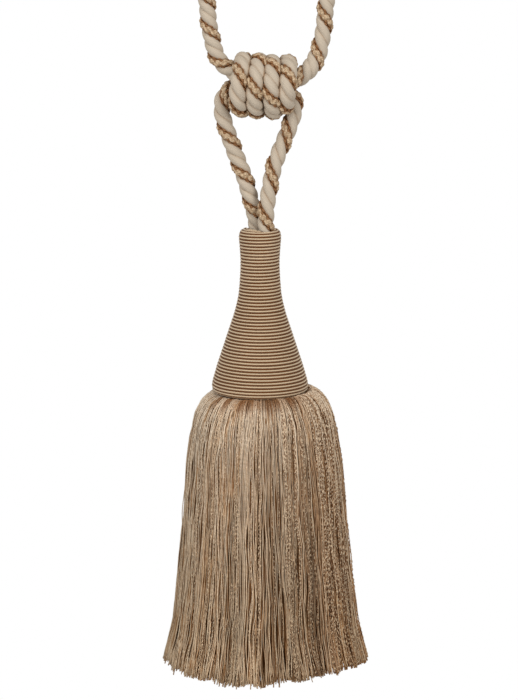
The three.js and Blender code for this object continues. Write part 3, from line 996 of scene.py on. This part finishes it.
class TIEBACK_OT_head(bpy.types.Operator):
    """Winds the head with a cream cord and a brown one, side by side"""

    bl_idname = "tieback.head"
    bl_label = "Wound head"

    def execute(self, context):
        settings = context.scene.tieback_head
        rng = np.random.default_rng(11)
        light = np.array(settings.cream)
        brown = np.array(settings.brown)
        under = tuple(settings.under)
        # Under the rim both cords turn to the underside colour: painted shade.
        cream = head_cord("cream head cord", (under, light * 0.93, light), 0.6, 0.6)
        dark = head_cord("brown head cord", (under, brown * 0.9, brown * 1.05), 0.8, 0.1)
        mesh = wound_cord(settings, settings.cream_radius, 0.0, 0.5, rng)
        place_piece("head_cream_cord", mesh, cream, ("head",))
        mesh = wound_cord(settings, settings.brown_radius, settings.brown_sink, 1.0, rng)
        place_piece("head_brown_cord", mesh, dark)
        profile, outward = head_profile()
        inner = (profile - outward * HEAD_CORE_DEPTH * MM)[::HEAD_CORE_THINNING]
        inner = inner[inner[:, 1] < HEAD_CORE_TOP * MM]
        # The head's core is dark brown as painted shade between the rows.
        core = shade_filling("head core", tuple(brown * 0.4))
        mesh = lathe_mesh(inner, CORE_SIDES, (HEAD_X * MM, 0, 0))
        place_piece("head_core", mesh, core)
        return {"FINISHED"}


# ---------------------------------------------------------------- skirt

# Round the skirt in degrees: how light its yarns are near the shoulder and at the hem, both their own
# tones and painted light and shade.
YARN_TONES = (
    (0, 0.95, 0.95),
    (100, 1.0, 0.95),
    (160, 0.92, 0.75),
    (195, 0.75, 0.6),
    (207, 0.77, 0.7),
    (226, 0.98, 0.81),
    (238, 1.02, 0.87),
    (250, 1.02, 0.63),
    (263, 1.06, 0.94),
    (277, 0.85, 0.65),
    (291, 0.99, 0.73),
    (304, 0.97, 0.64),
    (317, 0.94, 1.0),
    (338, 0.95, 0.69),
    (360, 0.95, 0.95),
)

# Sizes in millimetres: a yarn from the head to the hem, the skirt's usual radius, and the outline's step.
YARN_LENGTH = 165
USUAL_RADIUS = 46
SKIRT_STEP = 0.2
SHOULDER_ROWS = 7
# Past this many steps of the outline the height only falls.
SIDE_FROM = 200
YARN_SIDES = 3
# Shares of a yarn's length: the part over the shoulder, the part in which it comes free to move, and the
# part in which it sinks to its own depth.
OVER_SHOULDER = 0.22
FREE_FROM = 0.06
SUNK_FROM = 0.12
# A power of that share, for what happens only near the hem.
HEM_ONLY = 12
# How a yarn strays: the spread of its cut end, and of its place at the hem. A share of the yarns splay out
# wide, and a very small share are too long.
CUT_STRAYS, HEM_STRAYS = 0.22, 0.8
SPLAYED_YARNS, SPLAY_WIDE, SPLAY = 0.2, 2.2, 0.5
LONG_YARNS, LONG_BY = 0.012, 2.2
# The painted shade at the roots under the head: how far it reaches, between the tufts and in one, how
# sharply it ends, how deep it is in a tuft, and a tuft's half width in degrees.
ROOT_REACH, TUFT_REACH, ROOT_POWER = 12.5, 14.5, 6
TUFT_SHADE, TUFT_HALF_WIDTH = 0.94, 3.4
# Share of a yarn's length near the head over which it is lighter with painted light.
PAINTED_LIGHT_TO = 0.12
# The crimped yarns' kinks: points along a yarn, and the slowest and fastest wave against the usual one.
CRIMPED_RINGS = 290
SLOW_KINK, FAST_KINK = 0.5, 1.15
SKIRT_CORE_DEPTH = 3.4


def lock_wave(angle):
    """How far a lock of yarn stands out or in at this angle, from -1 to 1."""
    main = np.cos(LOCKS * angle + 1.1 * np.sin(5 * angle))
    return 0.7 * main + 0.3 * np.sin(11 * angle + 0.8)


def hem_height(angle):
    """Height of the cut end at this angle: the table's, eased from row to row, with small teeth."""
    rows = np.array(HEM, float)
    degrees = np.degrees(angle) % 360
    after = np.clip(np.searchsorted(rows[:, 0], degrees), 1, len(rows) - 1)
    low, high = rows[after - 1], rows[after]
    share = (degrees - low[..., 0]) / (high[..., 0] - low[..., 0])
    share = share * share * (3 - 2 * share)
    teeth = 0.6 * np.sin(17 * angle + 0.5) + 0.4 * np.cos(29 * angle)
    return (low[..., 1] + share * (high[..., 1] - low[..., 1]) + HEM_TEETH * teeth) * MM


class SkirtShape:
    """The skirt's outer surface, from under the head to a little past the cut end."""

    def __init__(self):
        fine = smooth_line(metres(SKIRT_OUTLINE), SKIRT_STEP * MM)
        heading = unit(fine[-1] - fine[-12])
        past = fine[-1] + heading * np.linspace(SKIRT_STEP, 12, 60)[:, None] * MM
        self.profile = np.vstack([fine, past])
        self.along = lengths_along(self.profile)
        self.full = lengths_along(fine)[-1]
        tangents = tangents_of(self.profile)
        self.outward = np.stack([-tangents[:, 1], tangents[:, 0]], axis=1)
        over = smooth_line(metres(SKIRT_OUTLINE[:SHOULDER_ROWS]), SKIRT_STEP * MM)
        self.shoulder = lengths_along(over)[-1]

    def length_to_height(self, height):
        """How far along the outline it reaches this height, below the shoulder."""
        return np.interp(-height, -self.profile[SIDE_FROM:, 1], self.along[SIDE_FROM:])

    def under(self, place, depth):
        """Radius and height of points this far along the outline and this deep under it."""
        flat = columns_at(place, self.along, self.profile)
        way = columns_at(place, self.along, self.outward)
        return [middle - out * depth for middle, out in zip(flat, way)]

    def points(self, place, angle, depth):
        """Points this far along the outline, at these angles, and this deep under the surface."""
        radius, height = self.under(place, depth)
        share = place / self.full
        locks = LOCK_DEPTH * MM * np.clip(place / self.shoulder - 0.15, 0, 1) * lock_wave(angle)
        tilt = SHOULDER_TILT * MM * np.cos(angle) * np.maximum(0, 1 - 2 * share)
        tilt = tilt * np.clip(place / (4 * MM), 0, 1)
        radius = radius + locks
        x = radius * np.cos(angle) + (SKIRT_X + SKIRT_LEAN * (share - 0.4)) * MM
        return np.stack([x, radius * np.sin(angle), height + tilt], axis=-1)


def spaced_shares(count):
    """Shares of a yarn's length at its rings, closer together over the shoulder."""
    bent = int(count * 0.4)
    over = np.linspace(0, OVER_SHOULDER, bent, endpoint=False)
    return np.concatenate([over, np.linspace(OVER_SHOULDER, 1, count - bent)])


def near_start(shares, reach):
    """From 1 at the start of a yarn down to 0, mostly within this share of its length."""
    return np.exp(-((shares / reach) ** 2))


def between_three(share, low, middle, high):
    """Colours on the way from the low one over the middle one to the high one."""
    share = np.clip(share, 0, 1)[..., None] * 2
    low, middle, high = np.array(low), np.array(middle), np.array(high)
    return low + (middle - low) * np.minimum(share, 1) + (high - middle) * np.maximum(share - 1, 0)


class Gathering:
    """How the yarns of one layer run together: in wide clumps, and in narrow bundles inside them."""

    ROWS = 72
    # Slowest and fastest wave and usual size of the sway and the lift, and how unevenly the groups are cut.
    CLUMP_STRAYS = ((1, 3, 0.45 * MM), (1, 4, 0.28 * MM), 0.75)
    BUNDLE_STRAYS = ((2, 7, 0.17 * MM), (3, 8, 0.14 * MM), 0.34)
    # Slowest and fastest wave and usual size of how a bundle draws together along its length.
    BUNDLE_CLOSING = (2, 9, 0.4)

    def __init__(self, rng, settings, light):
        self.light = light
        self.clumps = self.level(rng, settings.clumps, *self.CLUMP_STRAYS)
        self.bundles = self.level(rng, settings.bundles, *self.BUNDLE_STRAYS)
        near_hem = np.linspace(0, 1, self.ROWS) ** 7
        self.clumps["closing"] = near_hem * rng.uniform(0.03, 0.2, (settings.clumps, 1))
        waves = soft_rows(rng, settings.bundles, self.ROWS, *self.BUNDLE_CLOSING)
        below_shoulder = np.clip(np.linspace(-0.3, 3, self.ROWS), 0, 1)
        self.bundles["closing"] = np.clip(waves - settings.closed, 0, 0.8) * below_shoulder

    def level(self, rng, count, sway, lift, cut):
        """Groups side by side round the skirt, with how each sways, lifts, is cut and is coloured."""
        widths = rng.uniform(0.4, 1.7, count)
        edges = np.concatenate([[0], np.cumsum(widths)]) / widths.sum() * TURN
        return {
            "edges": edges,
            "middle": (edges[1:] + edges[:-1]) / 2,
            "sway": soft_rows(rng, count, self.ROWS, *sway),
            "lift": soft_rows(rng, count, self.ROWS, *lift),
            "cut": rng.normal(0, cut, count) * MM,
            "shade": rng.normal(0, 1, count),
            "kind": rng.normal(0, 1, count),
        }

    def members(self, angles):
        """Which clump and which bundle yarns at these angles belong to."""
        found = []
        for level in (self.clumps, self.bundles):
            place = np.searchsorted(level["edges"], angles % TURN) - 1
            found.append(np.clip(place, 0, len(level["middle"]) - 1))
        return found

    def along(self, table, member, shares):
        """Values from a level's table at these shares of each yarn's length."""
        fine = np.linspace(0, 1, self.ROWS)
        return np.array([np.interp(row, fine, table[m]) for m, row in zip(member, shares)])

    def crimped_share(self, angles):
        """The chance of a crimped yarn at these angles: high on the right, and in some groups on the left."""
        clump, bundle = self.members(angles)
        kind = 0.75 * self.clumps["kind"][clump] + 0.6 * self.bundles["kind"][bundle]
        return np.clip(0.42 + 0.26 * np.cos(angles) + 0.3 * kind, 0.03, 1)


class TIEBACK_OT_skirt(bpy.types.Operator):
    """Hangs the skirt: smooth and crimped yarns in layers, gathered in bundles, cut unevenly at the hem"""

    bl_idname = "tieback.skirt"
    bl_label = "Skirt of yarns"

    def execute(self, context):
        settings = context.scene.tieback_skirt
        self.settings = settings
        self.rng = np.random.default_rng(settings.seed)
        self.shape = SkirtShape()
        smooth = toned_yarn("smooth skirt yarn", 0.4, 0.55, SMOOTH_TWIST, 0.5, 0.0001)
        crimped = toned_yarn("crimped skirt yarn", 0.25, 1.0, CRIMPED_TWIST, 0.5, 0.00014, GOLDEN)
        dull = toned_yarn("inner skirt yarn", 0.9, 0.05, INNER_TWIST, 0.55, 0.0001)

        def hang(name, mesh, material, replaced=()):
            place_piece(name, mesh, material, replaced)

        outer = Gathering(self.rng, settings, 1.0)
        mesh = self.smooth_yarns(outer, settings.outer_yarns, 0.4, 1.3, rings=56)
        hang("skirt_outer_yarns", mesh, smooth, ("skirt",))
        hang("skirt_crimped_front", self.crimped_yarns(outer, math.pi), crimped)
        hang("skirt_crimped_back", self.crimped_yarns(outer, 0.0), crimped)
        mesh = self.smooth_yarns(outer, settings.loose_yarns, 0.0, 0.4, rings=60, drift=4.0, lighter=0.35)
        hang("skirt_loose_yarns", mesh, smooth)
        second = Gathering(self.rng, settings, settings.second_light)
        mesh = self.smooth_yarns(second, settings.second_yarns, 1.2, 2.0, rings=30, plump=1.15)
        hang("skirt_second_yarns", mesh, dull)
        deep = Gathering(self.rng, settings, settings.deep_light)
        mesh = self.smooth_yarns(deep, settings.deep_yarns, 2.2, 3.4, rings=20, plump=1.5)
        hang("skirt_deep_yarns", mesh, dull)
        mesh = self.smooth_yarns(deep, settings.inner_ends, 3.4, 8.0, rings=6, plump=1.9, first=0.82)
        hang("skirt_inner_ends", mesh, dull)
        hang("skirt_core", self.core_mesh(), shade_filling("skirt core", tuple(settings.core)))
        return {"FINISHED"}

    def yarn_lines(self, group, angles, shallow, deep, shares, drift):
        """Middle lines of yarns that leave the head at these angles, between two depths under the surface."""
        rng = self.rng
        count, rings = len(angles), len(shares)
        shares = np.broadcast_to(shares, (count, rings))
        near_hem = shares**HEM_ONLY
        fade = np.clip(shares / FREE_FROM, 0, 1)
        angle = np.broadcast_to(angles[:, None], (count, rings))
        moved = soft_rows(rng, count, rings, 5, 12, self.settings.wander)
        moved = moved + rng.normal(0, drift, (count, 1)) * MM * shares
        moved = moved + rng.normal(0, HEM_STRAYS, (count, 1)) * MM * near_hem
        sunk = rng.uniform(shallow, deep, (count, 1)) * MM * (0.3 + 0.7 * np.clip(shares / SUNK_FROM, 0, 1))
        sunk = sunk + soft_rows(rng, count, rings, 5, 12, 0.1 * MM) * fade
        splay = np.where(rng.random(count) < SPLAYED_YARNS, SPLAY_WIDE, SPLAY)[:, None]
        sunk = sunk - np.abs(rng.normal(0, splay)) * MM * near_hem
        cut = rng.normal(0, CUT_STRAYS, count) - LONG_BY * (rng.random(count) < LONG_YARNS)
        cut = cut * MM
        for level, member in zip((group.clumps, group.bundles), group.members(angles)):
            closing = group.along(level["closing"], member, shares)
            angle = angle + (level["middle"][member][:, None] - angle) * closing * fade
            moved = moved + group.along(level["sway"], member, shares)
            sunk = sunk - group.along(level["lift"], member, shares) * fade
            cut = cut + level["cut"][member]
        angle = angle + moved / (USUAL_RADIUS * MM) * fade
        sunk = np.maximum(sunk, np.minimum(shallow, 0.1) * MM)
        end = self.shape.length_to_height(hem_height(angle[:, -1]) + cut)[:, None]
        start = rng.uniform(0.0, 1.5, (count, 1)) * MM
        return self.shape.points(start + shares * (end - start), angle, sunk)

    def outward_of(self, lines):
        """From the skirt's axis outwards and a little up, at each point of the lines."""
        away = lines - np.array((SKIRT_X * MM, 0, 0))
        return unit(away * (1, 1, 0)) + np.array((0, 0, 0.25))

    def near_tuft(self, angles):
        tufts = np.radians(np.array(SHADED_TUFTS))
        apart = np.abs((angles[:, None] - tufts + math.pi) % TURN - math.pi)
        return apart.min(axis=1) < math.radians(TUFT_HALF_WIDTH)

    def roots(self, angles, shares):
        """Painted shade browning yarns as they leave the head: most in a tuft, and least at the sides."""
        near = self.near_tuft(angles)[:, None]
        reach = np.where(near, TUFT_REACH, ROOT_REACH)
        plain = 0.2 + 0.5 * np.abs(np.sin(angles))[:, None] ** 3
        brown = np.where(near, TUFT_SHADE, plain)
        return np.exp(-((shares * YARN_LENGTH / reach) ** ROOT_POWER)) * brown

    def smooth_yarns(self, group, count, shallow, deep, rings, drift=0.5, plump=1.0, first=0.0, lighter=0.0):
        """A layer of smooth yarns, between two depths in millimetres under the skirt's surface.

        They are seen from the first share of their length on, which is 0 where they leave the head.
        """
        rng, settings = self.rng, self.settings
        angles = (np.arange(count) + rng.uniform(-0.4, 0.4, count)) / count * TURN
        angles = angles % TURN
        right = np.cos(angles)
        shares = spaced_shares(rings) if first == 0 else np.linspace(first, 1, rings)
        lines = self.yarn_lines(group, angles, shallow, deep, shares, drift)
        radius = plump * settings.yarn_radius * rng.uniform(0.8, 1.15, (count, 1)) * (1 + 0.25 * shares**6)
        radius[:, -1] *= 0.85
        mesh = tube_mesh(tube_rings(lines, self.outward_of(lines), radius, YARN_SIDES))
        clump, bundle = group.members(angles)
        varied = 0.14 * group.clumps["shade"][clump] + 0.15 * group.bundles["shade"][bundle]
        varied = (varied + rng.normal(0, 0.14, count)) * (1.15 + 0.35 * right)
        # From 0 for bronze over fawn to 1 for taupe: lighter on the left, lighter over the shoulder as
        # painted sheen, and browner towards the hem on the right as painted shade.
        share = 0.6 - 0.24 * right + varied + lighter
        share = share[:, None] + soft_rows(rng, count, rings, 4, 16, 0.1)
        share = share + 0.16 * near_start(shares, 0.25)
        share = share - 0.3 * shares * np.clip(right[:, None] + 0.3, 0, 1)
        tone = between_three(share, settings.bronze, settings.fawn, settings.taupe)
        tone = tone * rng.normal(1.0, 0.07, (count, rings, 1))
        tone = self.with_place(tone, angles, shares)
        # Inner layers are darker and browner with painted shade, but for their cut ends.
        kept = group.light + (1 - group.light) * 0.8 * shares[:, None] ** 30
        tone = tone * kept ** np.array((1.0, 1.6, 2.3))
        give_colour(mesh, "tone", self.with_side_shade(tone, shares))
        return mesh

    def with_place(self, tone, angles, shares):
        """The tones by place round and along the skirt, with painted light and shade, brown at the roots."""
        rows = np.array(YARN_TONES)
        degrees = np.degrees(angles)
        high, low = [np.interp(degrees, rows[:, 0], rows[:, column])[:, None] for column in (1, 2)]
        root = self.roots(angles, shares)[..., None]
        place = high + (low - high) * np.clip(1.6 * shares - 0.3, 0, 1)
        # Lighter near the head: painted light.
        place = place * (1 + 0.34 * near_start(shares, PAINTED_LIGHT_TO))
        warmer = 1 + (shares - 0.5)[:, None] * np.array((0.03, -0.03, -0.14))
        return tone * place[..., None] * warmer * (1 - root * (1 - np.array(self.settings.root)))

    def with_side_shade(self, tone, shares):
        """The tone of a yarn's sides: full outside, and painted shade, browner, where yarns lie on each
        other.
        """
        # Near the head the sides keep more of their tone: less painted shade there.
        kept = 0.35 * near_start(shares, 0.2)[:, None, None]
        crease = kept + (1 - kept) * np.array(self.settings.crease)
        crease = np.broadcast_to(crease, (len(shares), YARN_SIDES - 1, 3))
        sides = np.concatenate([np.ones((len(shares), 1, 3)), crease], axis=1)
        tone = np.maximum(tone, 0.01)
        tone = tone / np.maximum(tone.max(axis=-1, keepdims=True), 1)
        return tone[:, :, None, :] * sides

    def crimped_yarns(self, group, start_angle):
        """Shiny crimped yarns on one half of the skirt, most of them where their share is high."""
        rng, settings = self.rng, self.settings
        wanted = settings.crimped_yarns // 2
        angles = start_angle + rng.uniform(0, math.pi, wanted * 40)
        kept = rng.random(len(angles)) < group.crimped_share(angles)
        angles = angles[kept][:wanted]
        right = np.cos(angles)[:, None]
        coarse = spaced_shares(56)
        shallow = 0.5 - 0.3 * right
        lines = self.yarn_lines(group, angles, shallow, shallow + 0.5, coarse, 0.5)
        fine = np.linspace(0, 1, CRIMPED_RINGS)
        lines = np.array([np.stack(columns_at(fine, coarse, line), axis=1) for line in lines])
        normals, binormals = axes_along(lines, self.outward_of(lines))
        kinks = YARN_LENGTH * MM / settings.crimp_pitch
        slow, fast = int(kinks * SLOW_KINK), int(kinks * FAST_KINK)
        sideways = soft_rows(rng, wanted, CRIMPED_RINGS, slow, fast)
        outwards = soft_rows(rng, wanted, CRIMPED_RINGS, slow, fast)
        kinked = sideways[..., None] * binormals + 0.8 * outwards[..., None] * normals
        lines = lines + settings.crimp * kinked
        radius = settings.crimped_radius * rng.uniform(0.8, 1.2, (wanted, CRIMPED_RINGS))
        mesh = tube_mesh(tube_rings(lines, normals, radius, YARN_SIDES))
        # Painted light: from 0, shade in the hollows, to 1, a highlight on the kinks, with random glints;
        # lighter near the head and on the left, darker low on the right.
        low_right = fine * np.clip(right + 0.3, 0, 1)
        lit = 0.9 * outwards - 0.15 - 0.35 * low_right + rng.normal(0, 0.45, outwards.shape)
        lit = lit / 0.42 + 0.4 * near_start(fine, 0.2) + 0.8 * near_start(fine, 0.06)
        least = 0.45 * np.clip(0.6 - right, 0, 1)
        lit = least + (1 - least) * np.clip(lit, 0, 1)
        brown = np.array(settings.crimp_hollow_shade)
        golden = np.array(settings.golden) * rng.normal(1.0, 0.12, (wanted, 1, 1))
        tone = (brown + (golden - brown) * lit[..., None]) * (1 - 0.1 * low_right[..., None])
        give_colour(mesh, "tone", self.with_side_shade(self.with_place(tone, angles, fine), fine))
        return mesh

    def core_mesh(self):
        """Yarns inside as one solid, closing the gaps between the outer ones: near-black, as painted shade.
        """
        place = np.linspace(2 * MM, self.shape.full - 5 * MM, 50)
        profile = np.stack(self.shape.under(place, SKIRT_CORE_DEPTH * MM), axis=1)
        return lathe_mesh(profile, CORE_SIDES, (SKIRT_X * MM, 0, 0))


# ---------------------------------------------------------------- stage


def aim(thing, target):
    """Turns a camera or a light to look at the target."""
    way = Vector(target) - thing.location
    thing.rotation_mode = "QUATERNION"
    thing.rotation_quaternion = way.to_track_quat("-Z", "Y")


class TIEBACK_OT_camera(bpy.types.Operator):
    """Sets the camera a little above the tassel, looking down on it"""

    bl_idname = "tieback.camera"
    bl_label = "Camera"

    LOOK_AT = (-3.36, 0.0, -287.0)
    DISTANCE = 1680.0
    PITCH = math.radians(10.8)
    LENS = 154.3

    def execute(self, context):
        camera = bpy.data.objects.new("camera", bpy.data.cameras.new("camera"))
        context.scene.collection.objects.link(camera)
        camera.data.sensor_width = 36.0
        camera.data.lens = self.LENS
        camera.data.clip_start = 0.05
        camera.data.clip_end = 50.0
        target = metres(self.LOOK_AT)
        back = np.array((0.0, -math.cos(self.PITCH), math.sin(self.PITCH)))
        camera.location = target + back * self.DISTANCE * MM
        aim(camera, target)
        context.scene.camera = camera
        return {"FINISHED"}


class TIEBACK_OT_stage(bpy.types.Operator):
    """Puts a round pale floor under the tieback and lights it softly from both sides and from above"""

    bl_idname = "tieback.stage"
    bl_label = "Floor and light"

    # Name, place in millimetres, width in millimetres.
    KEY = ("left light", (-1480, -1540, 200), 900)
    FILL = ("right light", (1480, -1540, 200), 900)
    TOP = ("top light", (-60, -700, 850), 700)
    LIT = (0, 0, -300)
    FLOOR_THICKNESS = 6 * MM
    FLOOR_EDGE = 2 * MM

    def execute(self, context):
        settings = context.scene.tieback_stage
        scene = context.scene
        scene.view_settings.view_transform = "Standard"
        self.add_floor(scene, settings)
        self.add_world(scene, settings)
        powers = (settings.key_power, settings.fill_power, settings.top_power)
        for (name, place, width), power in zip((self.KEY, self.FILL, self.TOP), powers):
            self.add_light(scene, name, place, width, power)
        return {"FINISHED"}

    def add_floor(self, scene, settings):
        top = -settings.floor_drop
        radius = settings.floor_radius
        profile = (
            (radius - self.FLOOR_EDGE, top),
            (radius, top - self.FLOOR_EDGE),
            (radius, top - self.FLOOR_THICKNESS),
        )
        mesh = lathe_mesh(profile, 160, (0, 0, 0))
        floor = bpy.data.objects.new("floor", mesh)
        scene.collection.objects.link(floor)
        material, _, shader = new_material("pale floor", 0.7)
        shader.inputs["Base Color"].default_value = (0.86, 0.86, 0.85, 1)
        mesh.materials.append(material)

    def add_world(self, scene, settings):
        """White all round, which lights the tieback less than it shows."""
        world = bpy.data.worlds.new("surroundings")
        world.use_nodes = True
        tree = world.node_tree
        tree.nodes.clear()
        path = add_node(tree, "ShaderNodeLightPath")
        shown = {"Value": path.outputs["Is Camera Ray"], "To Min": settings.ambient, "To Max": 1.0}
        strength = add_node(tree, "ShaderNodeMapRange", shown)
        white = {"Color": (1, 1, 1, 1), "Strength": strength.outputs["Result"]}
        background = add_node(tree, "ShaderNodeBackground", white)
        add_node(tree, "ShaderNodeOutputWorld", {"Surface": background.outputs["Background"]})
        scene.world = world

    def add_light(self, scene, name, place, width, power):
        data = bpy.data.lights.new(name, "AREA")
        data.shape = "DISK"
        data.size = width * MM
        data.energy = power
        light = bpy.data.objects.new(name, data)
        scene.collection.objects.link(light)
        light.location = metres(place)
        aim(light, metres(self.LIT))


class TIEBACK_PT_panel(bpy.types.Panel):
    """Lists the tieback's pieces in the sidebar of the 3D view"""

    bl_idname = "TIEBACK_PT_panel"
    bl_label = "Curtain tieback"
    bl_space_type = "VIEW_3D"
    bl_region_type = "UI"
    bl_category = "Tieback"

    def draw(self, context):
        for operator in OPERATORS:
            self.layout.operator(operator.bl_idname)


SETTINGS = {
    "tieback_rope": TiebackRope,
    "tieback_head": TiebackHead,
    "tieback_skirt": TiebackSkirt,
    "tieback_stage": TiebackStage,
}
OPERATORS = (TIEBACK_OT_camera, TIEBACK_OT_rope, TIEBACK_OT_head, TIEBACK_OT_skirt, TIEBACK_OT_stage)


def register():
    for group in (*SETTINGS.values(), *OPERATORS, TIEBACK_PT_panel):
        bpy.utils.register_class(group)
    for name, group in SETTINGS.items():
        setattr(bpy.types.Scene, name, PointerProperty(type=group))


def unregister():
    for name in SETTINGS:
        delattr(bpy.types.Scene, name)
    for group in (TIEBACK_PT_panel, *OPERATORS, *SETTINGS.values()):
        bpy.utils.unregister_class(group)


def main():
    register()
    bpy.ops.tieback.camera()
    bpy.ops.tieback.rope()
    bpy.ops.tieback.head()
    bpy.ops.tieback.skirt()
    bpy.ops.tieback.stage()
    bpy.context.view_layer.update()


if __name__ == "__main__":
    main()
